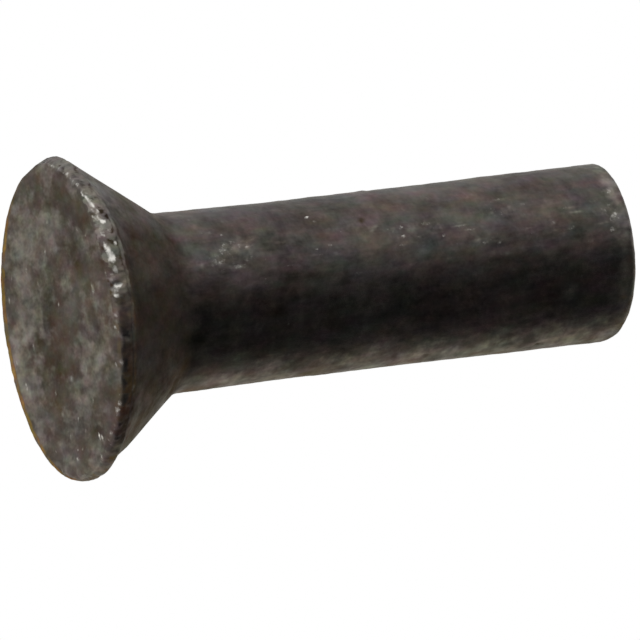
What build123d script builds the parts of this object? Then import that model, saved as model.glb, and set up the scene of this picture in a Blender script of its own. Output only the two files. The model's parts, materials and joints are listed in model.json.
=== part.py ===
from build123d import *

import os
from math import radians, tan

# Countersunk solid rivet, upset and cropped from one length of steel wire.
# Millimetres. The flat face of the head lies on Z = 0 with its centre at the
# origin, and the shank stands up along +Z to the cropped tail.

# ---- Overall sizes -------------------------------------------------------
shank_diameter = 6.0
overall_length = 20.0        # head included, as countersunk rivets are sold
head_diameter = 11.0
countersink_angle = 75.0     # included angle of the cone under the head

# ---- Head ----------------------------------------------------------------
face_edge_radius = 0.3       # round between the flat face and the rim
rim_height = 0.15            # straight band left above that round
rim_edge_radius = 0.15       # break between the straight band and the cone

# ---- Neck ----------------------------------------------------------------
neck_radius = 0.8            # blend from the cone into the shank
throat_swell = 0.06          # how much the shank's radius grows at the neck
throat_length = 4.0          # length over which that swelling runs out
throat_blend_radius = 60.0   # blend from the swelling into the plain shank

# ---- Cropped tail --------------------------------------------------------
# The wire is sheared off: the end is flat, and its edge is rolled over on the
# +X side, where the blade came in, and left nearly sharp on the -X side.
crop_roll_radius = 0.7       # radius of the rolled-over edge
crop_offset = 0.2            # how far the rolled form stands off the axis
crop_clearance = 0.05        # wall left between the form and the shank on +X

# ---- Worked out from the sizes above -------------------------------------
shank_radius = shank_diameter / 2
head_radius = head_diameter / 2
throat_radius = shank_radius + throat_swell
cone_start = face_edge_radius + rim_height
cone_height = (head_radius - throat_radius) / tan(radians(countersink_angle / 2))
neck_height = cone_start + cone_height
throat_end = neck_height + throat_length


def half_section():
    """Half of the rivet's section, from the axis outwards, with a square tail."""
    corners = [
        (0, 0),
        (head_radius, 0),
        (head_radius, cone_start),
        (throat_radius, neck_height),
        (shank_radius, throat_end),
        (shank_radius, overall_length),
        (0, overall_length),
    ]
    rounds = [face_edge_radius, rim_edge_radius, neck_radius, throat_blend_radius, 0]
    with BuildSketch(Plane.XZ) as section:
        with BuildLine():
            FilletPolyline(*corners, radius=rounds)
            Line(corners[-1], corners[0])
        make_face()
    return section.sketch


def headed_blank():
    """The upset head and the wire's full length, turned about the axis."""
    return revolve(half_section(), axis=Axis.Z)


def crop_form():
    """The round-edged form, off the axis, that the cropped tail is trimmed to."""
    form_radius = shank_radius + crop_offset + crop_clearance
    reach = form_radius + head_radius
    with BuildPart() as form:
        Cylinder(form_radius, overall_length, align=(Align.CENTER, Align.CENTER, Align.MIN))
        fillet(form.edges().group_by(Axis.Z)[-1], crop_roll_radius)
        Cylinder(reach, throat_end, align=(Align.CENTER, Align.CENTER, Align.MIN))
    return Pos(-crop_offset, 0, 0) * form.part


def rivet():
    """The finished rivet: the headed blank with its cropped tail."""
    body = headed_blank() & crop_form()
    body.label = "rivet"
    return body


if __name__ == "__main__":
    os.makedirs("parts", exist_ok=True)
    export_step(rivet(), "parts/rivet.step")
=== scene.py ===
import json
import math
import random
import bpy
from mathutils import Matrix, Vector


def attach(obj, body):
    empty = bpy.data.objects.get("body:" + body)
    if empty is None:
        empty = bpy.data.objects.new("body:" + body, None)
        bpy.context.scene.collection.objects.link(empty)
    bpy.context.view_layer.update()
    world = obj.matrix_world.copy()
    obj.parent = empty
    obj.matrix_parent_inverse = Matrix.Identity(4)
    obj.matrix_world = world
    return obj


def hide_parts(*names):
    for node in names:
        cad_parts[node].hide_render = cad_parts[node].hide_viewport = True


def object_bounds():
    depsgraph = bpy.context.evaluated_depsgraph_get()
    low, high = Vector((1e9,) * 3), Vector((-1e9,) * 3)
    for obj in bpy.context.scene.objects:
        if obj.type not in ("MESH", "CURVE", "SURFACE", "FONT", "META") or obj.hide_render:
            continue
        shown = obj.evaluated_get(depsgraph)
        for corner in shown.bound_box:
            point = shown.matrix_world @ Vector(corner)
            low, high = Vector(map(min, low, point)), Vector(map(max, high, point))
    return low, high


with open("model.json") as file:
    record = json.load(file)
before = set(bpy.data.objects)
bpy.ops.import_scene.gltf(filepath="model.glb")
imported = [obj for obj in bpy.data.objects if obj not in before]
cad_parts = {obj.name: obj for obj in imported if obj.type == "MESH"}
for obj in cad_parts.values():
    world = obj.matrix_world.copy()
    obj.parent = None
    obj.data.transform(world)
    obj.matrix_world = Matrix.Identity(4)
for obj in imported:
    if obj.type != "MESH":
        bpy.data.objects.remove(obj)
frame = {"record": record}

from types import SimpleNamespace

import bmesh
import bpy
from bpy.props import FloatProperty, FloatVectorProperty, IntProperty, PointerProperty
from mathutils import Matrix, Vector, noise
from mathutils.kdtree import KDTree

bl_info = {
    "name": "Countersunk rivet",
    "version": (1, 0, 0),
    "blender": (4, 5, 0),
    "location": "3D View > Sidebar > Rivet",
    "description": "Makes a worn, dark countersunk solid rivet and the small studio it stands in",
    "category": "Object",
}

MM = 0.001                       # metres in a millimetre: the mesh is shaped in millimetres
CAD_LOW, CAD_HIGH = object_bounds()
SHANK_MOUNT = next(m for m in frame["record"]["mounts"] if m["name"] == "shank")

# How finely the mesh is cut, in millimetres.
FINE_STEP = 0.065                # between the rings of the rim and of what lies next to it
COARSE_STEP = 0.14               # between the rings elsewhere
FINE_FACE = 1.3                  # how far in from the rim the face is cut finely
FINE_CONE = 0.6                  # how far up from the rim the cone is cut finely
NEARLY = 0.001                   # a distance that counts as none
ON_FACE = 0.01                   # a vertex lower than this belongs to the flat face


# ---- Settings ----

def a_length(name, default, description):
    """A length property, kept in metres, with its default given in millimetres."""
    return FloatProperty(name=name, description=description, default=default * MM, min=0.0,
                         precision=5, unit="LENGTH", subtype="DISTANCE")


def an_angle(name, default, description):
    """An angle property, kept in radians, with its default given in degrees."""
    return FloatProperty(name=name, description=description, default=math.radians(default), subtype="ANGLE")


def a_share(name, default, description):
    """A property from 0 to 1."""
    return FloatProperty(name=name, description=description, default=default, min=0.0, max=1.0,
                         subtype="FACTOR")


def a_colour(name, default, description):
    """A linear colour property."""
    return FloatVectorProperty(name=name, description=description, default=default, size=3,
                               min=0.0, max=1.0, subtype="COLOR")


class RivetSizes(bpy.types.PropertyGroup):
    overall: a_length("Length", (CAD_HIGH.z - CAD_LOW.z) / MM, "From the head's face to the tail")
    head: a_length("Head diameter", (CAD_HIGH.x - CAD_LOW.x) / MM, "Across the rim of the head")
    shank: a_length("Shank diameter", 2 * SHANK_MOUNT["dims"]["r_mm"], "Diameter of the plain shank")
    cone_angle: an_angle("Cone angle", 75, "Included angle of the countersunk cone")
    face_edge: a_length("Face edge", 0.3, "Round between the flat face and the rim")
    rim: a_length("Rim", 0.15, "Straight band of the rim above that round")
    rim_edge: a_length("Rim edge", 0.15, "Round between the rim and the cone")
    neck: a_length("Neck", 0.8, "Blend between the cone and the shank")
    swell: a_length("Throat swell", 0.06, "How much the shank's radius grows at the neck")
    swell_length: a_length("Throat length", 4.0, "Length over which that swelling runs out")
    swell_blend: a_length("Throat blend", 60.0, "Blend from the swelling into the plain shank")
    crop_mean: a_length("Cropped edge", 0.32, "Radius of the tail's edge, on average")
    crop_lean: a_length("Crop lean", 0.20, "How much rounder the edge is on the +X side than on average")
    turns: IntProperty(name="Steps round", description="Faces in one turn of the mesh", default=288, min=48)


class RivetWear(bpy.types.PropertyGroup):
    head_shift: a_length("Head shift", 0.125, "How far the upset head sits off the shank's axis, towards +X")
    tail_swell: a_length("Tail swell", 0.025, "How far cropping spread the shank at its tail")
    face_hollow: a_length("Face unevenness", 0.04, "Depth of the face's broad hollows")
    burr: a_length("Burr", 0.07, "How far the face's edge is drawn out sharp on the -Y side")
    skin_depth: a_length("Skin depth", 0.012, "Depth of the scale's fine relief")
    rim_depth: a_length("Rim unevenness", 0.035, "How ragged the rim is")
    knock_depth: a_length("Knocks", 0.28, "Depth of the deepest flat knocked into the rim")
    nick_depth: a_length("Nicks", 0.11, "Depth of the deepest nick in the rim")
    lip: a_length("Lip", 0.17, "How much thicker the rim was upset on the -Y side")
    tear: a_length("Torn tail", 0.10, "Depth of the torn side of the cropped tail")
    seed: IntProperty(name="Seed", description="Changes the scattered nicks and rubs", default=4, min=0)


class RivetFinish(bpy.types.PropertyGroup):
    warm: a_colour("Warm oxide", (0.106, 0.083, 0.078), "Reddish areas of the oxide skin")
    cool: a_colour("Cool oxide", (0.088, 0.083, 0.075), "Greenish grey areas of the oxide skin")
    # Also laid on as painted light: the rim's bright stretch, the cone, the shank's +X side and a sheen near
    # the neck.
    rubbed: a_colour("Rubbed oxide", (0.199, 0.182, 0.156), "Oxide rubbed thin")
    # Also laid on as painted shade: over the cone and the rim's dark stretch.
    grime: a_colour("Grime", (0.055, 0.039, 0.024), "Dull brown dirt in the pits and on the head")
    rust: a_colour("Rust", (0.240, 0.148, 0.050), "Thin rust on the head's far edge and along the +X side")
    bare: a_colour("Bare steel", (0.78, 0.76, 0.71), "Metal laid bare on nicks and corners")
    roughness: a_share("Roughness", 0.44, "Roughness of the oxide skin")
    edge_tint: a_share("Edge tint", 0.72, "How much the skin brightens at a glancing view")
    relief: a_length("Fine relief", 0.02, "Height of the finest texture")


class StudioSettings(bpy.types.PropertyGroup):
    aim: a_length("Aim height", 9.404, "Height on the rivet's axis that the camera looks at")
    aside: a_length("Aim aside", 1.165, "How far towards +X of the axis the camera looks")
    distance: a_length("Camera distance", 503.4, "From the camera to the point it looks at")
    tilt: an_angle("Camera tilt", -21.26, "How far above the floor's plane the camera is")
    roll: an_angle("Camera roll", 83.256, "Turn of the camera about its line of sight")
    lens: FloatProperty(name="Focal length", description="In millimetres, on a 36 mm sensor",
                        default=837.4, subtype="DISTANCE_CAMERA")
    floor: a_length("Floor radius", 3000.0, "Radius of the pale floor")


def in_mm(group):
    """A settings group's values with its lengths in millimetres."""
    values = {}
    for prop in group.bl_rna.properties:
        if prop.identifier in {"rna_type", "name"}:
            continue
        value = getattr(group, prop.identifier)
        values[prop.identifier] = value / MM if getattr(prop, "unit", "") == "LENGTH" else value
    return SimpleNamespace(**values)


# ---- Steps, places and noise ----

def smooth(low, high, value):
    """0 below low and 1 above high, with a soft step between."""
    share = min(max((value - low) / (high - low), 0.0), 1.0)
    return share * share * (3 - 2 * share)


def fade(low, high, value):
    """1 below low and 0 above high, with a soft step between."""
    return 1 - smooth(low, high, value)


def span(value, start, full, fading, end):
    """1 from full to fading, with soft steps down to 0 at start and at end."""
    return smooth(start, full, value) * fade(fading, end, value)


def dome(share):
    """1 at 0, falling softly to 0 at 1."""
    return (1 - share * share) ** 2 if share < 1 else 0.0


def hill(value, middle, reach):
    """1 in the middle, falling softly to 0 at a reach on either side."""
    return dome(abs(value - middle) / reach)


def degrees_apart(one, two):
    """The smaller angle between two directions, in degrees."""
    return abs((one - two + 180) % 360 - 180)


def towards(angle, middle, full, end):
    """1 up to full degrees from a direction, and 0 from end degrees on, with a soft step between."""
    return fade(full, end, degrees_apart(angle, middle))


def around(degrees, radius, height):
    """A place at a direction round the axis, in degrees from +X."""
    turn = math.radians(degrees)
    return Vector((radius * math.cos(turn), radius * math.sin(turn), height))


def direction_of(place):
    """A place's direction round the axis, from 0 to 360 degrees from +X."""
    return math.degrees(math.atan2(place.y, place.x)) % 360


def rough(place, grain, pattern=0.0, octaves=3):
    """Noise from about -1 to 1 whose largest lumps are grain millimetres across, in one of many patterns."""
    return noise.fractal(place / grain + Vector((pattern, pattern, pattern)), 0.8, 2.0, octaves)


def drawn_out(place):
    """Where noise is read for a place on the face, so that its lumps are twice as long along Y."""
    return Vector((place.x, place.y * 0.5, 0))


# ---- The rivet's shape ----

def heights(size):
    """Adds the heights and radii that the outline's corners stand at."""
    size.head_radius = size.head / 2
    size.shank_radius = size.shank / 2
    size.throat_radius = size.shank_radius + size.swell
    size.cone_start = size.face_edge + size.rim
    size.cone_end = size.cone_start + (size.head_radius - size.throat_radius) / math.tan(size.cone_angle / 2)
    size.throat_end = size.cone_end + size.swell_length
    size.fine_ring = size.head_radius - FINE_FACE
    size.fine_height = size.cone_start + FINE_CONE
    return size


def round_corner(bm, corner, radius, segments):
    """Rounds one corner of the wire outline to a true radius."""
    one, two = [edge.other_vert(corner).co - corner.co for edge in corner.link_edges]
    turn = math.pi - one.angle(two)
    bmesh.ops.bevel(bm, geom=[corner], offset=radius * math.tan(turn / 2), offset_type="OFFSET",
                    affect="VERTICES", segments=segments, profile=0.5, material=-1)


def divide(bm, size):
    """Cuts the outline's long edges into even steps, finer on the rim and next to it."""
    for edge in bm.edges[:]:
        middle = (edge.verts[0].co + edge.verts[1].co) / 2
        fine = middle.x > size.fine_ring and middle.z < size.fine_height
        cuts = int(edge.calc_length() / (FINE_STEP if fine else COARSE_STEP))
        if cuts:
            bmesh.ops.subdivide_edges(bm, edges=[edge], cuts=cuts)


def draw_outline(bm, size):
    """Half the rivet's section as a wire, from the face's centre round to the tail's centre."""
    fine_radius = size.head_radius - FINE_CONE * math.tan(size.cone_angle / 2)
    # Each corner's radius, height, radius that it is rounded to, and segments of that round.
    outline = (
        (0, 0, 0, 0),
        (size.fine_ring, 0, 0, 0),
        (size.head_radius, 0, size.face_edge, 8),
        (size.head_radius, size.cone_start, size.rim_edge, 3),
        (fine_radius, size.fine_height, 0, 0),
        (size.throat_radius, size.cone_end, size.neck, 6),
        (size.shank_radius, size.throat_end, size.swell_blend, 4),
        (size.shank_radius, size.overall, size.crop_mean, 8),
        (0, size.overall, 0, 0),
    )
    corners = [bm.verts.new((radius, 0, height)) for radius, height, _, _ in outline]
    for start, end in zip(corners, corners[1:]):
        bm.edges.new((start, end))
    for corner, (_, _, rounded, segments) in zip(corners, outline):
        if segments:
            round_corner(bm, corner, rounded, segments)
    divide(bm, size)


def turn_outline(bm, size):
    """Spins the outline into a closed skin with merged poles and outward faces."""
    bmesh.ops.spin(bm, geom=bm.verts[:] + bm.edges[:], cent=(0, 0, 0), axis=(0, 0, 1),
                   angle=math.tau, steps=size.turns, use_merge=True)
    poles = [vert for vert in bm.verts if vert.co.xy.length < NEARLY]
    bmesh.ops.remove_doubles(bm, verts=poles, dist=2 * NEARLY)
    bmesh.ops.recalc_face_normals(bm, faces=bm.faces[:])


def round_rings(bm, size, low, high):
    """Moves the vertices that were cut into straight edges back out to their ring's radius."""
    margin = 0.01
    half_step = math.pi / size.turns
    for vert in bm.verts:
        if vert.co.xy.length > low - margin and vert.co.z < high + margin:
            turn = math.atan2(vert.co.y, vert.co.x) % (2 * half_step)
            vert.co.xy *= math.cos(turn - half_step) / math.cos(half_step)


def refine_rim(bm, size):
    """Cuts the rim's faces in three along their turn, so that nicks come out sharp."""
    low = size.fine_ring + 0.3
    high = size.fine_height - 0.1

    def on_ring(edge):
        """Whether an edge lies along the rim, and not across it."""
        one, two = (vert.co for vert in edge.verts)
        return abs(one.z - two.z) < NEARLY and abs(one.xy.length - two.xy.length) < NEARLY

    rings = [edge for edge in bm.edges
             if all(vert.co.xy.length > low and vert.co.z < high for vert in edge.verts) and on_ring(edge)]
    bmesh.ops.subdivide_edges(bm, edges=rings, cuts=2)
    round_rings(bm, size, low, high)


def crop_tail(bm, size):
    """Rolls the tail's edge over on the +X side and leaves it nearly sharp on the other."""
    mean = size.crop_mean
    reach = 1.4                  # how far from the edge the mesh gives way

    def moved(depth, local):
        """Where a depth behind the edge ends up when the edge's radius goes from the mean to a local one."""
        if depth < mean:
            return depth * local / mean
        stretch = (reach - local) / (reach - mean)
        return reach - (reach - depth) * stretch

    for vert in bm.verts:
        radius = vert.co.xy.length
        in_wall = size.overall - vert.co.z
        in_face = size.shank_radius - radius
        if in_wall > reach or in_face > reach or radius == 0:
            continue
        local = mean + size.crop_lean * vert.co.x / radius
        if in_wall < mean:
            vert.co.xy *= (size.shank_radius - moved(in_face, local)) / radius
        if in_face < mean:
            vert.co.z = size.overall - moved(in_wall, local)


def shift_head(bm, size, wear):
    """Moves the upset head off the shank's axis, dying out along the cone."""
    for vert in bm.verts:
        vert.co.x += wear.head_shift * fade(size.cone_start, size.cone_end, vert.co.z)


def shape_rivet(bm, size, wear):
    """The rivet as it was made, then its wear, and last the head moved aside as one."""
    draw_outline(bm, size)
    turn_outline(bm, size)
    refine_rim(bm, size)
    crop_tail(bm, size)
    wear_rivet(bm, size, wear)
    shift_head(bm, size, wear)


# ---- Where the wear is, and the light and shade painted with it ----

# Stretches of the rim, in degrees from +X: where each starts, is full, begins to fade and ends.
NEAR_SIDE = (200, 222, 318, 345)       # drawn out to a burr, round -Y
BRIGHT_SIDE = (176, 196, 260, 278)     # rubbed bright, and painted light where the light falls, from -X to -Y
DARK_SIDE = (266, 282, 305, 338)       # dirt and painted shade, where the rim is in shadow, from -Y towards +X
BROWN_SIDE = (256, 272, 305, 338)      # a little rusty, over the same stretch and before it
LIP_SIDE = (205, 245, 305, 355)        # upset thicker
FULL_SIDE = (312, 328, 340, 358)       # fuller, with a hollow behind it

# Flats knocked into the rim: direction in degrees from +X, and share of the deepest flat.
KNOCKS = (
    (115, 0.55), (128, 0.78), (141, 0.88), (150, 0.95), (158, 0.88), (166, 1),
    (178, 0.75), (190, 0.6),
)

# Nicks in the rim: direction, distance across the rim from the flat face, reach along the rim and
# across it, share of the deepest nick, and how bare the metal is.
RIM_NICKS = (
    (193, 0.1, 0.6, 0.12, 0.1, 0.65), (199, 0.16, 0.3, 0.08, 0.1, 0.65), (207, 0.22, 0.35, 0.1, 0.1, 0.6),
    (216, 0.26, 0.3, 0.08, 0.1, 0.65), (221.5, 0.25, 0.22, 0.06, 0.2, 1),
    (224.5, 0.29, 0.28, 0.07, 0.2, 1.2), (228, 0.34, 0.28, 0.08, 0.2, 1.3),
    (231, 0.4, 0.18, 0.07, 0.1, 1.1), (233, 0.23, 0.16, 0.06, 0.1, 0.8),
    (236, 0.42, 0.16, 0.11, 0.3, 1.6), (240, 0.48, 0.16, 0.09, 0.2, 0.75),
    (242, 0.34, 0.12, 0.07, 0.1, 0.7), (245, 0.54, 0.16, 0.08, 0.2, 1.2),
    (246, 0.31, 0.3, 0.08, 0.2, 1.2), (248.5, 0.34, 0.4, 0.08, 0.2, 1.7),
    (250.5, 0.38, 0.34, 0.09, 0.3, 1.9), (255, 0.4, 0.26, 0.09, 0.1, 1.1),
    (260.5, 0.38, 0.15, 0.14, 0.4, 2.1), (264, 0.32, 0.12, 0.08, 0.3, 1.7),
    (275, 0.16, 0.14, 0.1, 0.1, 0.7), (277, 0.24, 0.2, 0.08, 0.1, 0.55), (289, 0.1, 0.14, 0.12, 0.1, 0.6),
    (303, 0.26, 0.16, 0.09, 0.1, 0.8), (306, 0.22, 0.4, 0.08, 0.1, 0.7), (317, 0.2, 0.3, 0.08, 0.1, 0.75),
    (324, -0.14, 0.16, 0.24, 0.1, 0.9), (326, -0.34, 0.16, 0.28, 0.1, 0.95),
    (331, 0.16, 0.2, 0.1, 0.1, 0.6),
)

# Places on the shank: height, direction, reach along and across, push outwards, and how much they are
# rubbed, laid bare and dirty. The two broad ones at 5 and 5.75 mm are painted sheen near the neck.
SHANK_MARKS = (
    (4.3, 249, 0.2, 0.24, 0, 0.8, 0.45, 0), (4.6, 208, 0.22, 0.12, 0, 0.6, 0.25, 0),
    (4.84, 248, 0.24, 0.13, 0, 1, 0.7, 0), (5, 246, 1.1, 0.6, 0, 0.5, 0.3, 0),
    (5.2, 240, 0.34, 0.24, 0, 0.8, 0.5, 0), (5.45, 236, 0.6, 0.32, 0, 0.6, 0.45, 0),
    (5.6, 252, 0.38, 0.12, 0, 1, 0.8, 0), (5.75, 238, 1.1, 0.6, 0, 0.5, 0.3, 0),
    (6.1, 239, 0.26, 0.16, 0, 0.9, 0.65, 0), (7.14, 293, 0.12, 0.09, 0.01, 0.5, 0.8, 0),
    (8.5, 246, 0.12, 0.08, 0, 0.4, 0.6, 0), (8.62, 219, 0.12, 0.11, 0.01, 0.5, 1.2, 0),
    (10.44, 228, 0.2, 0.22, -0.05, 0, 0, 1), (10.5, 237, 0.6, 0.5, 0, 0, 0, 0.35),
    (11, 216, 0.15, 0.12, 0, 0.5, 0.3, 0), (11.2, 238, 0.35, 0.1, 0, 0.4, 0.4, 0),
    (11.4, 182, 0.22, 0.22, 0.03, 0.2, 0, 0), (11.7, 237, 0.22, 0.12, 0, 0.6, 0.75, 0),
    (11.7, 244, 0.14, 0.12, 0, 0.6, 0.8, 0), (12, 240, 1, 0.45, 0, 0.5, 0.2, 0),
    (12.6, 237, 0.35, 0.1, 0, 0.5, 0.5, 0), (12.6, 337, 0.22, 0.16, -0.03, 0, 0, 0.9),
    (12.8, 241, 0.6, 0.3, 0, 0.5, 0.2, 0), (13.1, 247, 0.15, 0.12, 0, 0.6, 0.9, 0),
    (13.1, 350, 0.25, 0.25, 0.03, 0.2, 0, 0), (13.6, 254, 0.2, 0.12, 0, 0.4, 0.4, 0),
    (14.1, 245, 0.4, 0.1, 0, 0.5, 0.55, 0), (14.6, 255, 0.5, 0.15, 0, 0.4, 0.4, 0),
    (15, 254, 0.6, 0.3, 0, 0.45, 0.2, 0), (15, 255, 0.4, 0.25, 0, 0.6, 0.3, 0),
    (15.1, 256, 0.16, 0.12, 0, 0.6, 0.9, 0), (15.4, 234, 0.8, 0.4, 0, 0.45, 0.15, 0),
    (16.1, 239, 0.3, 0.25, 0, 0.4, 0.15, 0), (16.7, 226, 0.3, 0.2, 0, 0.4, 0.1, 0),
    (16.8, 340, 0.2, 0.18, -0.03, 0, 0, 0.9), (17, 253, 0.35, 0.08, 0, 0.5, 0.5, 0),
    (18.8, 235, 0.2, 0.15, 0, 0.5, 0.3, 0), (19, 242, 0.4, 0.34, 0, 0.75, 0.25, 0),
    (19.2, 256, 0.2, 0.15, 0, 0.6, 0.7, 0), (19.3, 243, 0.45, 0.5, 0, 0.55, 0.2, 0),
    (19.4, 247, 0.26, 0.36, 0, 0.9, 0.6, 0), (19.4, 332, 0.45, 1, 0, 1, 0.25, 0),
    (19.5, 228, 0.24, 0.26, 0, 0.9, 0.55, 0), (19.6, 308, 0.25, 0.8, 0, 0.9, 0.2, 0),
)

# Broad areas of the face, by direction, distance from the centre and reach: rubbed ones and dirty ones.
RUBBED_AREAS = (
    (124, 3.3, 1.5), (152, 3.4, 1.2), (185, 3, 1.3), (96, 3.2, 1.4), (62, 4.2, 1.3), (298, 2.8, 1.7),
    (335, 3.4, 1.4), (291, 3.9, 0.9), (40, 4.6, 1), (0, 3.7, 1), (150, 2.3, 0.9), (236, 3.8, 0.8),
    (80, 4, 1), (10, 5.1, 1), (184, 5.2, 0.7), (133, 3.9, 0.9), (68, 4.6, 0.8),
)
DIRTY_AREAS = (
    (0, 0.3, 1.9), (27, 2, 1.8), (202, 4.5, 1.2), (303, 4.8, 1), (240, 3.6, 1.7), (350, 4.7, 0.8),
    (255, 5, 0.9), (225, 4.9, 0.9), (236, 2.9, 1.2), (264, 5.2, 0.7), (301, 5.2, 0.9), (260, 2.2, 0.9),
    (65, 1.9, 1), (28, 3.1, 0.9), (330, 1.9, 1), (187, 3.7, 0.8),
)

# Small bright marks on the face: direction, distance from the centre, reach.
FACE_MARKS = (
    (257, 3.82, 0.42), (350, 3.5, 0.16), (276, 4, 0.2), (309, 2.77, 0.22), (126, 3.08, 0.32),
    (114, 2.6, 0.24), (61, 4.34, 0.3), (73, 2.78, 0.26), (356, 4.73, 0.3), (319, 3.8, 0.18),
    (180, 3.3, 0.24),
)


# ---- Wear, and painted light and shade ----

def across_rim(place, size):
    """Distance across the rim, from where the flat face ends round its edge towards the cone."""
    from_flat = place.xy.length - (size.head_radius - size.face_edge)
    if place.z < NEARLY:
        return from_flat
    if place.z < size.face_edge:
        return size.face_edge * math.atan2(from_flat, size.face_edge - place.z)
    return size.face_edge * math.pi / 2 + place.z - size.face_edge


def on_rim(degrees, across, size):
    """The place at a direction and a distance across the rim."""
    turn = min(max(across / size.face_edge, 0.0), math.pi / 2)
    radius = size.head_radius - size.face_edge * (1 - math.sin(turn)) + min(across, 0.0)
    height = size.face_edge * (1 - math.cos(turn)) + max(across - size.face_edge * math.pi / 2, 0.0)
    return around(degrees, radius, height)


# What the skin is painted with: each is a layer of the mesh that the finish reads.
# Rubbing also carries painted light, and grime carries painted shade.
COATS = ("rubbed", "bare", "grime", "rust")


class Skin:
    """The rivet's mesh with its unworn places and normals, and a layer for each kind of wear, two of which
    also carry painted light and shade.
    """

    def __init__(self, bm):
        bm.normal_update()
        bm.verts.ensure_lookup_table()
        self.bm = bm
        self.layers = {name: bm.verts.layers.float.new(name) for name in COATS}
        self.start = [vert.co.copy() for vert in bm.verts]
        self.out = [vert.normal.copy() for vert in bm.verts]
        self.tree = KDTree(len(self.start))
        for index, place in enumerate(self.start):
            self.tree.insert(place, index)
        self.tree.balance()

    def walk(self):
        """Each vertex with its unworn place and its outward direction there."""
        return zip(self.bm.verts, self.start, self.out)

    def walk_rim(self, size):
        """The rim's vertices, each with its place, outward direction, angle and distance across."""
        for vert, place, out in self.walk():
            if place.z < size.fine_height:
                across = across_rim(place, size)
                if -0.6 < across < 1.2:
                    yield vert, place, out, direction_of(place), across

    def paint(self, vert, **amounts):
        """Raises layers at one vertex to at least the amounts given."""
        for name, amount in amounts.items():
            layer = self.layers[name]
            vert[layer] = max(vert[layer], amount)

    def add(self, centre, reach, **amounts):
        """Adds to layers in a soft round area."""
        for _, index, distance in self.tree.find_range(centre, reach):
            vert = self.bm.verts[index]
            for name, amount in amounts.items():
                vert[self.layers[name]] += amount * dome(distance / reach)

    def mark(self, centre, push, along, across, **amounts):
        """Pushes and paints the skin round a place, by a reach along and one across.

        Along is lengthwise on the shank, and round the axis on the head.
        """
        axis = Vector((0, 0, 1)) if abs(centre.z) > 1 else Vector((-centre.y, centre.x, 0)).normalized()
        for place, index, _ in self.tree.find_range(centre, max(along, across)):
            offset = place - centre
            lengthwise = offset.dot(axis)
            sideways = (offset - axis * lengthwise).length
            weight = dome(math.hypot(lengthwise / along, sideways / across))
            if weight:
                vert = self.bm.verts[index]
                vert.co += push * weight
                self.paint(vert, **{name: amount * weight for name, amount in amounts.items()})


def relieve_skin(skin, size, wear):
    """Fine scale all over, smoother on the cone, and a tail that cropping spread."""
    for vert, place, out in skin.walk():
        coarse = rough(place, 0.7, 3)
        fine = rough(place, 0.28, 9, 2)
        relief = wear.skin_depth * (coarse + 0.6 * fine)
        if place.z < size.cone_end:
            relief *= 1 - 0.7 * smooth(size.cone_start, size.cone_start + 0.3, place.z)
        if place.z > ON_FACE:
            vert.co += out * relief
        if place.xy.length > size.shank_radius - 0.5:
            vert.co.xy += out.xy * wear.tail_swell * smooth(size.overall - 7.5, size.overall - 2.5, place.z)


def dish_face(skin, size, wear):
    """Broad hollows and small dents in the face, never below the plane that it stands on."""
    for vert, place, _ in skin.walk():
        if place.z > ON_FACE:
            continue
        inside = fade(1.5, size.head_radius - 0.35, place.xy.length)
        hollow = wear.face_hollow * max(0.0, 0.35 + rough(drawn_out(place), 2.6, 21))
        scale = wear.skin_depth * max(0.0, 1 + rough(place, 0.5, 5))
        vert.co.z += inside * hollow + scale * (0.4 + 0.6 * inside)


def rust_on_edge(angle, across):
    """How rusty the face's edge is: on its +Y side only, and less towards -X."""
    far = max(0.0, math.sin(math.radians(angle)))    # 1 at +Y
    width = 0.30 * far - 0.30 * (1 - far) ** 2
    stretch = towards(angle, 78, 88, 108) * (1 - 0.5 * smooth(118, 150, angle))
    return stretch * smooth(-width - 0.10, -width + 0.06, across)


def soil_face(skin, size):
    """Rubbed and dirty mottling of the face, out onto its edge, and rust along the far edge."""
    for vert, place, _ in skin.walk():
        if place.z > size.face_edge + 0.01:
            continue
        across = across_rim(place, size)
        if across > 0.48:
            continue
        angle = direction_of(place)
        dark = span(angle, *DARK_SIDE)
        # On the rim's dark stretch the mottling reaches further across the edge: dirt and painted shade.
        amount = fade(0.08 + 0.16 * dark, 0.28 + 0.14 * dark, across)
        spot = drawn_out(place)
        rubbed = 0.32 + 0.40 * rough(spot, 1.5, 41) + 0.26 * rough(spot, 0.5, 43, 2)
        grime = min(0.85, 0.60 + 0.24 * rough(spot, 1.8, 47) + 0.24 * rough(spot, 0.5, 49, 2))
        rust = rust_on_edge(angle, across) * (0.65 + 0.7 * rough(place, 0.6, 91))
        skin.paint(vert, rubbed=rubbed * amount, grime=grime * amount, rust=rust)


def draw_out_rim(skin, size, wear):
    """A ragged rim, drawn out to a burr on the -Y side, which is twice as long on the dark side."""
    for vert, place, out, angle, across in skin.walk_rim(size):
        near = span(angle, *NEAR_SIDE)
        bright = span(angle, *BRIGHT_SIDE)
        dark = span(angle, *DARK_SIDE)

        torn = dark * rough(place, 0.45, 39, 3)
        burr = hill(across, 0.24 + 0.06 * dark + 0.06 * torn, 0.26)
        length = wear.burr * near * (1 + dark + 0.5 * torn) * burr
        vert.co += out.lerp(around(angle, 1, 0), dark) * length

        ragged = rough(place, 0.6, 31, 2) * (0.35 + 0.65 * near) + 0.5 * bright * rough(place, 0.3, 37, 2)
        ragged *= 1 - 0.7 * dark
        vert.co -= out * wear.rim_depth * max(0.0, 0.2 + ragged) * span(across, -0.1, 0.15, 0.6, 0.9)
        vert.co.z = max(vert.co.z, 0.0)


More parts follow.
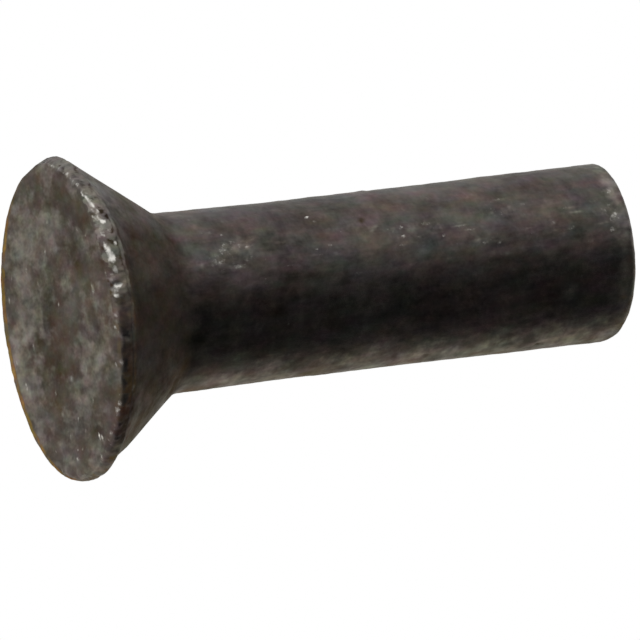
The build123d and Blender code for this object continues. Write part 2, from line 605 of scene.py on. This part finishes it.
def paint_rim(skin, size):
    """The rim's rubbed crest, its side, and its edge with the cone, each by direction, with painted light on
    the bright stretch and painted shade on the dark one.
    """
    for vert, place, _, angle, across in skin.walk_rim(size):
        near = span(angle, *NEAR_SIDE)
        bright = span(angle, *BRIGHT_SIDE)
        dark = span(angle, *DARK_SIDE)
        brown = span(angle, *BROWN_SIDE)
        low = towards(angle, 0, 24, 52)
        leaving = smooth(264, 278, angle)            # 1 past the end of the bright side
        turning = fade(274, 292, angle)              # 1 until the dark side has begun
        broken = rough(place, 0.35, 53)
        lumps = rough(place, 0.32, 59, 3)

        crest_at = 0.12 + 0.22 * smooth(200, 225, angle) - 0.12 * leaving
        crest = hill(across, crest_at, 0.10 + 0.03 * bright)
        starts = 0.14 + 0.19 * leaving
        side = smooth(starts, starts + 0.12, across + 0.24 * broken) * fade(0.58, 0.70, across)
        edge = hill(across, 0.72, 0.17) * fade(295, 315, angle)

        # Rubbing is wear, and on the bright stretch it is also painted light. The dark stretch's crest is
        # rubbed less, as painted shade.
        rubbed = max(crest * (0.55 + 0.35 * bright - 0.35 * dark + 0.4 * broken),
                     side * bright * (0.95 + 1.5 * lumps),
                     side * low * (0.7 + 0.6 * lumps),
                     side * dark * (0.3 + 0.4 * turning + 0.8 * lumps),
                     edge * near * (0.25 + 0.7 * bright + 0.3 * dark * turning + 0.8 * broken))
        # Dirt in the bright stretch's pits. Over the dark stretch and its edge with the cone: dirt and
        # painted shade, which dulls the edge's glint.
        dirt_and_shade = max(side * (dark * (0.9 - 0.4 * turning) + bright * 2.6 * max(0.0, -lumps - 0.1)),
                   hill(across, 0.74, 0.22) * dark * (1 - 0.6 * turning) * (0.8 + 0.5 * broken))
        bare = crest * bright * (0.30 + 0.2 * near + 0.6 * broken)
        rust = max(side * low * (0.35 + 0.5 * lumps),
                   max(side, edge, crest) * brown * (0.26 - 0.14 * smooth(284, 300, angle)) * (1 + lumps))
        skin.paint(vert, rubbed=rubbed, bare=bare, grime=dirt_and_shade, rust=rust)


def push_lip(skin, wear):
    """The rim upset thicker on the -Y side, and fuller with a hollow behind it between -Y and +X."""
    fullness = 0.05
    hollow = 0.07
    for vert, place, out in skin.walk():
        if 0.05 < place.z < 1.4:
            angle = direction_of(place)
            thicker = span(angle, *LIP_SIDE) * (1 - 0.3 * smooth(262, 285, angle))
            vert.co.z += wear.lip * thicker * span(place.z, 0.05, 0.4, 0.55, 1.3)
            push = fullness * hill(place.z, 0.35, 0.35) - hollow * hill(place.z, 1.0, 0.6)
            vert.co += out * span(angle, *FULL_SIDE) * push


def knock_rim(skin, size, wear):
    """Flats where the rim has been knocked against something, cut at a slant across its edge."""
    slant = math.radians(25)
    pressed = 0.96               # a little of the rim's roundness is left in a flat
    head = [vert for vert in skin.bm.verts if vert.co.z < size.cone_start + 1.5]
    for degrees, share in KNOCKS:
        normal = around(degrees, math.cos(slant), -math.sin(slant))
        touch = around(degrees, size.head_radius - share * wear.knock_depth, 0.1)
        limit = normal.dot(touch)
        for vert in head:
            over = normal.dot(vert.co) - limit
            if over > 0:
                vert.co -= normal * over * pressed
                skin.paint(vert, rubbed=0.6 * smooth(0, 0.05, over), bare=0.25 * smooth(0, 0.04, over))


def nick_rim(skin, size, wear):
    """The nicks listed above, with smaller ones scattered round the rest of the rim and on its crest."""
    scatter = random.Random(wear.seed)
    scattered = [(scatter.uniform(-20, 185), scatter.uniform(0.05, 0.5), scatter.uniform(0.08, 0.35),
                  scatter.uniform(0.06, 0.12), scatter.uniform(0.15, 0.6), scatter.uniform(0.2, 1.0))
                 for _ in range(34)]
    crest = [(scatter.uniform(266, 335), scatter.gauss(0.24, 0.03), scatter.uniform(0.05, 0.16),
              scatter.uniform(0.05, 0.09), 0.1, scatter.uniform(0.2, 0.7)) for _ in range(26)]
    for degrees, place, along, across, depth, shine in list(RIM_NICKS) + scattered + crest:
        push = around(degrees, -0.8, 0.6) * depth * wear.nick_depth
        skin.mark(on_rim(degrees, place, size), push, along, across, rubbed=0.5 + 0.5 * shine, bare=shine)


def soil_shank(skin, size):
    """A +X side rubbed lighter in patches, as wear and as painted reflected light, with a little thin rust,
    and a dull streak between -X and -Y.
    """
    for vert, place, _ in skin.walk():
        if place.z < size.cone_end or place.xy.length < size.shank_radius - 0.6:
            continue
        angle = direction_of(place)
        # Painted light: the +X side is rubbed lighter, more so away from the neck, for light reflected onto
        # it.
        low = fade(24, 60, degrees_apart(angle, 0) + 12 * rough(place, 1.6, 77))
        low *= 0.35 + 0.65 * smooth(size.cone_end + 0.3, size.cone_end + 2.8, place.z)
        patches = rough(place, 0.9, 71)
        dull = 0.18 * dome(degrees_apart(angle, 220) / 18)
        skin.paint(vert, rubbed=low * (0.46 + 0.42 * patches), grime=dull + low * (0.22 - 0.35 * patches),
                   rust=towards(angle, 5, 15, 45) * (0.20 + 0.26 * rough(place, 1.3, 93)))


def mark_shank(skin, size, wear):
    """The places listed above, and faint rubs scattered along the -Y and +Y sides."""
    scatter = random.Random(wear.seed + 2)
    rubs = [(scatter.uniform(4.5, 19.3), scatter.gauss(243, 11), scatter.uniform(0.10, 0.5),
             scatter.uniform(0.06, 0.16), 0, scatter.uniform(0.3, 0.8), scatter.uniform(0.0, 0.5), 0)
            for _ in range(50)]
    rubs += [(scatter.uniform(4.0, 19.3), scatter.gauss(105, 42), scatter.uniform(0.08, 0.5),
              scatter.uniform(0.06, 0.16), 0, scatter.uniform(0.3, 0.8), scatter.uniform(0.0, 0.6), 0)
             for _ in range(80)]
    for height, degrees, along, across, push, rubbed, bare, grime in list(SHANK_MARKS) + rubs:
        centre = around(degrees, size.shank_radius, height)
        skin.mark(centre, around(degrees, push, 0), along, across, rubbed=rubbed, bare=bare, grime=grime)


def tear_tail(skin, size, wear):
    """The tail's end: cut smooth on the +X side, torn on the other."""
    for vert, place, _ in skin.walk():
        if place.z < size.overall - ON_FACE:
            continue
        inside = fade(size.shank_radius - 0.55, size.shank_radius - 0.1, place.xy.length)
        streaks = rough(Vector((place.x * 0.3, place.y, 0)), 0.5, 83)
        torn = fade(-1.2, 0.3, place.x + 0.5 * rough(place, 1.2, 81))
        depth = wear.tear * (torn * (0.45 + 0.35 * rough(place, 0.8, 85)) + 0.12 * (1 + streaks))
        vert.co.z -= max(0.0, depth) * inside
        skin.paint(vert, rubbed=0.45 * (1 - torn) + 0.4 * streaks, grime=0.5 * torn + 0.2)


def soil_tail_edge(skin, size):
    """The tail's edge: rubbed except at +X, and a little brown on that side."""
    for vert, place, _ in skin.walk():
        if place.z < size.overall - 1.0:
            continue
        radius = place.xy.length
        angle = direction_of(place)
        edge = smooth(size.overall - 0.9, size.overall - 0.4, place.z) * smooth(1.9, 2.5, radius)
        edge *= 1 - towards(angle, 0, 10, 35)
        more = 0.4 * dome(degrees_apart(angle, 245) / 30) + 0.36 * dome(degrees_apart(angle, 306) / 46)
        brown = hill(place.z, size.overall - 0.30, 0.60) * smooth(2.5, 2.7, radius)
        brown *= towards(angle, 350, 50, 100)
        skin.paint(vert, rubbed=edge * (0.48 + more + 0.7 * rough(place, 0.5, 87)),
                   grime=0.25 * brown, rust=brown * (0.30 + 0.3 * rough(place, 0.6, 89)))


def mark_face(skin, size, wear):
    """Broad rubbed and dirty areas on the face, and small bright marks."""
    for degrees, radius, reach in RUBBED_AREAS:
        skin.add(around(degrees, radius, 0), reach, rubbed=0.34, grime=-0.28)
    for degrees, radius, reach in DIRTY_AREAS:
        skin.add(around(degrees, radius, 0), reach, rubbed=-0.34, grime=0.12)
    scatter = random.Random(wear.seed + 1)
    scattered = [(scatter.uniform(0, 360), size.head_radius * math.sqrt(scatter.uniform(0, 0.75)),
                  scatter.uniform(0.10, 0.24)) for _ in range(24)]
    for degrees, radius, reach in list(FACE_MARKS) + scattered:
        push = Vector((0, 0, 0.01))
        skin.mark(around(degrees, radius, 0), push, reach, reach * 0.6, rubbed=0.9, bare=0.6)


def dirty_and_shade_cone(skin, size):
    """Dirt and painted shade, darker on the cone than on the shank; rubbed lighter at +X and low down near
    -X, as painted light.
    """
    for vert, place, _ in skin.walk():
        on_cone = smooth(size.cone_start, size.cone_start + 0.2, place.z)
        on_cone *= fade(size.cone_end - 0.3, size.cone_end + 0.5, place.z)
        angle = direction_of(place)
        low = towards(angle, 0, 38, 62)
        high = towards(angle, 205, 18, 36) * fade(1.2, 2.4, place.z)
        # Painted light: rubbed lighter at +X and near -X. Painted shade: dirt over the rest of the cone.
        skin.paint(vert, rubbed=on_cone * 0.5 * max(high, low),
                   grime=on_cone * (0.60 - 0.35 * high + 0.28 * rough(place, 1.1, 61)),
                   rust=on_cone * low * (0.24 + 0.25 * rough(place, 1.5, 65)))
        # Less rubbing all over the cone, which darkens it: painted shade.
        vert[skin.layers["rubbed"]] -= 0.2 * on_cone


def wear_rivet(bm, size, wear):
    """All the wear, with the light and shade painted along with it, in the order in which one kind lies over
    another.
    """
    skin = Skin(bm)
    relieve_skin(skin, size, wear)
    dish_face(skin, size, wear)
    soil_face(skin, size)
    draw_out_rim(skin, size, wear)
    paint_rim(skin, size)
    push_lip(skin, wear)
    knock_rim(skin, size, wear)
    nick_rim(skin, size, wear)
    soil_shank(skin, size)
    mark_shank(skin, size, wear)
    tear_tail(skin, size, wear)
    soil_tail_edge(skin, size)
    mark_face(skin, size, wear)
    dirty_and_shade_cone(skin, size)


# ---- Materials ----

def opaque(colour):
    """A colour setting as a shader's socket takes it."""
    return (*colour, 1)


class Graph:
    """Adds shader nodes to one tree and links them."""

    def __init__(self, tree):
        self.tree = tree
        tree.nodes.clear()

    def add(self, kind, inputs=(), **settings):
        """A new node, with its settings made and its inputs fed."""
        node = self.tree.nodes.new("ShaderNode" + kind)
        for name, value in settings.items():
            setattr(node, name, value)
        for name, value in dict(inputs).items():
            self.feed(node.inputs[name], value)
        return node

    def feed(self, socket, value):
        """Links a socket to another, or sets it to a constant."""
        if isinstance(value, bpy.types.NodeSocket):
            self.tree.links.new(value, socket)
        else:
            socket.default_value = value

    def maths(self, operation, *values, **settings):
        """One sum on numbers."""
        return self.add("Math", enumerate(values), operation=operation, **settings).outputs[0]

    def blend(self, share, one, two):
        """Mixes two colours."""
        node = self.add("Mix", {"Factor": share}, data_type="RGBA")
        self.feed(node.inputs[6], one)
        self.feed(node.inputs[7], two)
        return node.outputs[2]

    def times(self, one, two):
        """One colour times another."""
        return self.add("VectorMath", {0: one, 1: two}, operation="MULTIPLY").outputs[0]

    def scaled(self, colour, amount):
        """A colour times a number."""
        return self.add("VectorMath", {0: colour, "Scale": amount}, operation="SCALE").outputs[0]

    def remap(self, value, low, high, to_low=0.0, to_high=1.0):
        """A value's range from low to high, moved softly to another range."""
        node = self.add("MapRange", {"Value": value, "From Min": low, "From Max": high,
                                     "To Min": to_low, "To Max": to_high}, interpolation_type="SMOOTHSTEP")
        return node.outputs[0]

    def noise(self, place, grain, detail, roughness, pattern):
        """A noise texture whose features are grain millimetres across, in one of many patterns."""
        return self.add("TexNoise", {"Vector": place, "W": pattern, "Scale": 1 / (grain * MM),
                                     "Detail": detail, "Roughness": roughness}, noise_dimensions="4D")

    def cloud(self, place, grain, detail, roughness, pattern):
        """Noise as a number, 0.5 on average."""
        return self.noise(place, grain, detail, roughness, pattern).outputs["Fac"]

    def plus_cloud(self, value, cloud, strength, **settings):
        """A value that noise lowers and raises by up to half its strength."""
        swing = self.maths("MULTIPLY_ADD", cloud, strength, -strength / 2)
        return self.maths("ADD", value, swing, **settings)

    def tinge(self, place, grain, amount, pattern):
        """Noise as a colour near white, to multiply another by, whose hue drifts from place to place."""
        colours = self.noise(place, grain, 2.0, 0.6, pattern).outputs["Color"]
        node = self.add("VectorMath", {0: colours, 1: (amount,) * 3, 2: (1 - amount / 2,) * 3},
                        operation="MULTIPLY_ADD")
        return node.outputs[0]


def oxide_noise(graph):
    """The noises that the oxide's colour, roughness and relief share."""
    coords = graph.add("TexCoord").outputs["Object"]
    place, lengthwise, longer = (graph.add("Mapping", {"Vector": coords, "Scale": scale}).outputs[0]
                                 for scale in ((1, 0.5, 1), (1, 0.5, 0.2), (1, 0.5, 0.5)))
    return SimpleNamespace(
        place=place,
        longer=longer,
        mottle=graph.cloud(place, 1.6, 4.0, 0.78, 1.0),
        drawn=graph.cloud(lengthwise, 0.35, 3.0, 0.7, 2.0),
        tint=graph.cloud(longer, 1.0, 3.0, 0.7, 4.0),
        patchy=graph.cloud(place, 0.65, 3.0, 0.72, 5.0),
        speckle=graph.cloud(place, 0.40, 2.0, 0.65, 3.0),
        grain=graph.cloud(coords, 0.16, 2.0, 0.7, 6.0),
    )


def oxide_colour(graph, finish, clouds):
    """The oxide's colour under its dirt and painted shade, its rubbed areas and painted light, and bare
    steel, with how much there is of each.
    """
    rubbed, bare, grime, rust = (graph.add("Attribute", attribute_name=name).outputs["Fac"] for name in COATS)
    skin = graph.blend(graph.remap(clouds.tint, 0.38, 0.62), opaque(finish.warm), opaque(finish.cool))

    # The dirt colour, which is also laid on as painted shade.
    soil_and_shade = graph.blend(rust, opaque(finish.grime), opaque(finish.rust))
    soil_and_shade = graph.times(soil_and_shade, graph.tinge(clouds.place, 0.8, 0.8, 8.0))
    soiled_and_shaded = graph.maths("MAXIMUM", grime, graph.maths("MULTIPLY", rust, 1.4))
    dirty_and_shaded = graph.plus_cloud(soiled_and_shaded, clouds.patchy, 0.8, use_clamp=True)
    skin = graph.blend(dirty_and_shaded, skin, soil_and_shade)

    # Rubbed oxide, which is also laid on as painted light.
    worn_and_lit = graph.remap(graph.plus_cloud(rubbed, clouds.speckle, 1.9), 0.1, 1.2)
    worn_and_lit = graph.maths("MULTIPLY", worn_and_lit, graph.remap(rust, 0.0, 0.6, 1.0, 0.0))
    skin = graph.blend(worn_and_lit, skin, opaque(finish.rubbed))

    clean = graph.maths("SUBTRACT", 1.0, dirty_and_shaded)
    lines = graph.maths("MULTIPLY", graph.maths("SUBTRACT", clouds.drawn, 0.5), clean)
    level = graph.maths("ADD", graph.maths("MULTIPLY_ADD", clouds.mottle, 2.6, -0.3), lines)
    skin = graph.times(graph.scaled(skin, level), graph.tinge(clouds.longer, 0.5, 0.55, 7.0))

    laid_bare = graph.remap(graph.plus_cloud(bare, clouds.grain, 1.8), 0.3, 1.4)
    skin = graph.blend(laid_bare, skin, opaque(finish.bare))
    return skin, dirty_and_shaded, worn_and_lit, laid_bare


def oxide_skin(finish):
    """Dark oxide over steel: mottled, half glossy, rubbed thin in places and bare on the nicks, with painted
    light and shade.
    """
    material = bpy.data.materials.new("oxidised_steel")
    material.use_nodes = True
    graph = Graph(material.node_tree)
    clouds = oxide_noise(graph)
    skin, dirty_and_shaded, worn_and_lit, laid_bare = oxide_colour(graph, finish, clouds)

    uncovered = graph.maths("MAXIMUM", worn_and_lit, laid_bare)
    metal = graph.maths("MULTIPLY_ADD", dirty_and_shaded, graph.maths("SUBTRACT", uncovered, 1.0), 1.0)
    uneven = graph.maths("MULTIPLY_ADD", clouds.patchy, 0.3, finish.roughness - 0.15)
    roughness = graph.maths("MULTIPLY", uneven, graph.maths("MULTIPLY_ADD", laid_bare, -0.25, 1.0))
    height = graph.maths("ADD", graph.maths("MULTIPLY", clouds.patchy, 0.7),
                         graph.maths("MULTIPLY", clouds.speckle, 0.3))
    bump = graph.add("Bump", {"Strength": 1.0, "Distance": finish.relief, "Height": height})
    shader = graph.add("BsdfPrincipled", {"Base Color": skin, "Metallic": metal, "Roughness": roughness,
                                          "Specular IOR Level": 0.0, "Normal": bump.outputs[0],
                                          "Specular Tint": opaque((finish.edge_tint,) * 3)})
    graph.add("OutputMaterial", {"Surface": shader.outputs[0]})
    return material


class RIVET_OT_make_rivet(bpy.types.Operator):
    """Shapes the rivet's worn skin and gives it its oxide finish"""
    bl_idname = "rivet.make_rivet"
    bl_label = "Make rivet"

    def execute(self, context):
        size = heights(in_mm(context.scene.rivet_sizes))
        wear = in_mm(context.scene.rivet_wear)
        bm = bmesh.new()
        shape_rivet(bm, size, wear)
        bmesh.ops.scale(bm, vec=(MM, MM, MM), verts=bm.verts[:])
        for face in bm.faces:
            face.smooth = True
        mesh = bpy.data.meshes.new("worn_rivet")
        bm.to_mesh(mesh)
        bm.free()
        piece = bpy.data.objects.new("worn_rivet", mesh)
        context.scene.collection.objects.link(piece)
        piece.data.materials.append(oxide_skin(context.scene.rivet_finish))
        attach(piece, "root")
        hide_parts("rivet")
        return {"FINISHED"}


# ---- The studio ----

# Round areas of the world, in degrees: the azimuth and elevation of their middle, and how far from it
# they end and are full.
DARK_AREA = (43, 31, 92, 35)
BRIGHT_AREA = (152, 12, 46, 18)      # cuts the dark area short
WARM_AREA = (152, 12, 60, 30)
DARK_LEVEL = 0.04                    # what is left of the light in the dark area
WARM_LIGHT = (1.0, 0.965, 0.84, 1)
WHITE = (1, 1, 1, 1)

FLOOR_GAP = 0.02                     # millimetres that the floor lies below the rivet
FLOOR_FADE = (20, 120)               # millimetres from the rivet where the floor turns whiter


def direction(azimuth, elevation):
    """The way towards a place at an azimuth from the -Y side and an elevation, in degrees."""
    turn, rise = math.radians(azimuth), math.radians(elevation)
    return Vector((math.sin(turn) * math.cos(rise), -math.cos(turn) * math.cos(rise), math.sin(rise)))


def light_world(scene):
    """White all round, with one soft dark side that the metal reflects, cut short by a bright, warm one.

    The camera sees it white everywhere.
    """
    world = bpy.data.worlds.new("studio")
    world.use_nodes = True
    graph = Graph(world.node_tree)
    way = graph.add("TexCoord").outputs["Generated"]

    def outside(area, level=0.0):
        """1 outside a round area of the world, and another level within it."""
        azimuth, elevation, end, full = area
        middle = direction(azimuth, elevation)
        facing = graph.add("VectorMath", {0: way, 1: middle}, operation="DOT_PRODUCT").outputs["Value"]
        return graph.remap(facing, math.cos(math.radians(end)), math.cos(math.radians(full)), 1.0, level)

    darkness = graph.maths("SUBTRACT", 1.0, outside(DARK_AREA, DARK_LEVEL))
    darkness = graph.maths("MULTIPLY", darkness, outside(BRIGHT_AREA))
    camera_ray = graph.add("LightPath").outputs["Is Camera Ray"]
    strength = graph.maths("MAXIMUM", graph.maths("SUBTRACT", 1.0, darkness), camera_ray)
    white = graph.maths("MAXIMUM", outside(WARM_AREA), camera_ray)
    colour = graph.blend(white, WARM_LIGHT, WHITE)
    backdrop = graph.add("Background", {"Color": colour, "Strength": strength})
    graph.add("OutputWorld", {"Surface": backdrop.outputs[0]})
    scene.world = world


def floor_paint():
    """Pale floor that fades into the white ground, and is clear when seen from below."""
    material = bpy.data.materials.new("pale_floor")
    material.use_nodes = True
    graph = Graph(material.node_tree)
    place = graph.add("TexCoord").outputs["Object"]
    away = graph.add("VectorMath", {0: place}, operation="LENGTH").outputs["Value"]
    start, end = FLOOR_FADE
    whiter = graph.remap(away, start * MM, end * MM)

    def mixed(share, one, two):
        """A shader that turns from one to another."""
        return graph.add("MixShader", {0: share, 1: one.outputs[0], 2: two.outputs[0]})

    pale = graph.add("BsdfDiffuse", {"Color": (0.95, 0.95, 0.95, 1)})
    bright = graph.add("Emission", {"Color": WHITE, "Strength": 1.0})
    top = mixed(graph.maths("MULTIPLY_ADD", whiter, 0.6, 0.4), pale, bright)
    below = graph.add("NewGeometry").outputs["Backfacing"]
    shown = mixed(below, top, graph.add("BsdfTransparent"))
    graph.add("OutputMaterial", {"Surface": shown.outputs[0]})
    return material


def lay_floor(scene, studio):
    """A round floor that only the camera sees, so that it hides no light from the rivet."""
    bm = bmesh.new()
    bmesh.ops.create_circle(bm, cap_ends=True, segments=96, radius=studio.floor)
    mesh = bpy.data.meshes.new("floor")
    bm.to_mesh(mesh)
    bm.free()
    floor = bpy.data.objects.new("floor", mesh)
    floor.location.z = -FLOOR_GAP * MM
    scene.collection.objects.link(floor)
    floor.data.materials.append(floor_paint())
    floor.visible_diffuse = False
    floor.visible_glossy = False
    floor.visible_transmission = False
    floor.visible_volume_scatter = False
    floor.visible_shadow = False


def place_camera(scene, studio):
    """A long lens that looks past the head's face along the shank, from below the floor."""
    camera = bpy.data.objects.new("camera", bpy.data.cameras.new("camera"))
    scene.collection.objects.link(camera)
    back = direction(0, math.degrees(studio.tilt))
    camera.rotation_mode = "QUATERNION"
    turn = back.to_track_quat("Z", "Y")
    camera.rotation_quaternion = turn @ Matrix.Rotation(studio.roll, 3, "Z").to_quaternion()
    camera.location = Vector((studio.aside, 0, studio.aim)) + back * studio.distance
    camera.data.lens = studio.lens
    camera.data.sensor_width = 36
    camera.data.clip_start = 0.05
    camera.data.clip_end = 20
    scene.camera = camera


class RIVET_OT_set_studio(bpy.types.Operator):
    """Lays the floor, lights the rivet and places the camera"""
    bl_idname = "rivet.set_studio"
    bl_label = "Set studio"

    def execute(self, context):
        scene = context.scene
        studio = scene.rivet_studio
        scene.view_settings.view_transform = "Standard"
        light_world(scene)
        lay_floor(scene, studio)
        place_camera(scene, studio)
        return {"FINISHED"}


class RIVET_PT_panel(bpy.types.Panel):
    bl_label = "Rivet"
    bl_idname = "RIVET_PT_panel"
    bl_space_type = "VIEW_3D"
    bl_region_type = "UI"
    bl_category = "Rivet"

    def draw(self, context):
        for name in SETTINGS:
            group = getattr(context.scene, name)
            box = self.layout.box()
            for prop in group.bl_rna.properties:
                if prop.identifier not in {"rna_type", "name"}:
                    box.prop(group, prop.identifier)
        self.layout.operator("rivet.make_rivet")
        self.layout.operator("rivet.set_studio")


SETTINGS = {
    "rivet_sizes": RivetSizes,
    "rivet_wear": RivetWear,
    "rivet_finish": RivetFinish,
    "rivet_studio": StudioSettings,
}
CLASSES = (*SETTINGS.values(), RIVET_OT_make_rivet, RIVET_OT_set_studio, RIVET_PT_panel)


def register():
    """Adds the settings, operators and panel to Blender."""
    for cls in CLASSES:
        bpy.utils.register_class(cls)
    for name, group in SETTINGS.items():
        setattr(bpy.types.Scene, name, PointerProperty(type=group))


def unregister():
    """Takes them away again."""
    for name in SETTINGS:
        delattr(bpy.types.Scene, name)
    for cls in reversed(CLASSES):
        bpy.utils.unregister_class(cls)


def main():
    """Makes the rivet and its studio."""
    register()
    bpy.ops.rivet.make_rivet()
    bpy.ops.rivet.set_studio()


if __name__ == "__main__":
    main()
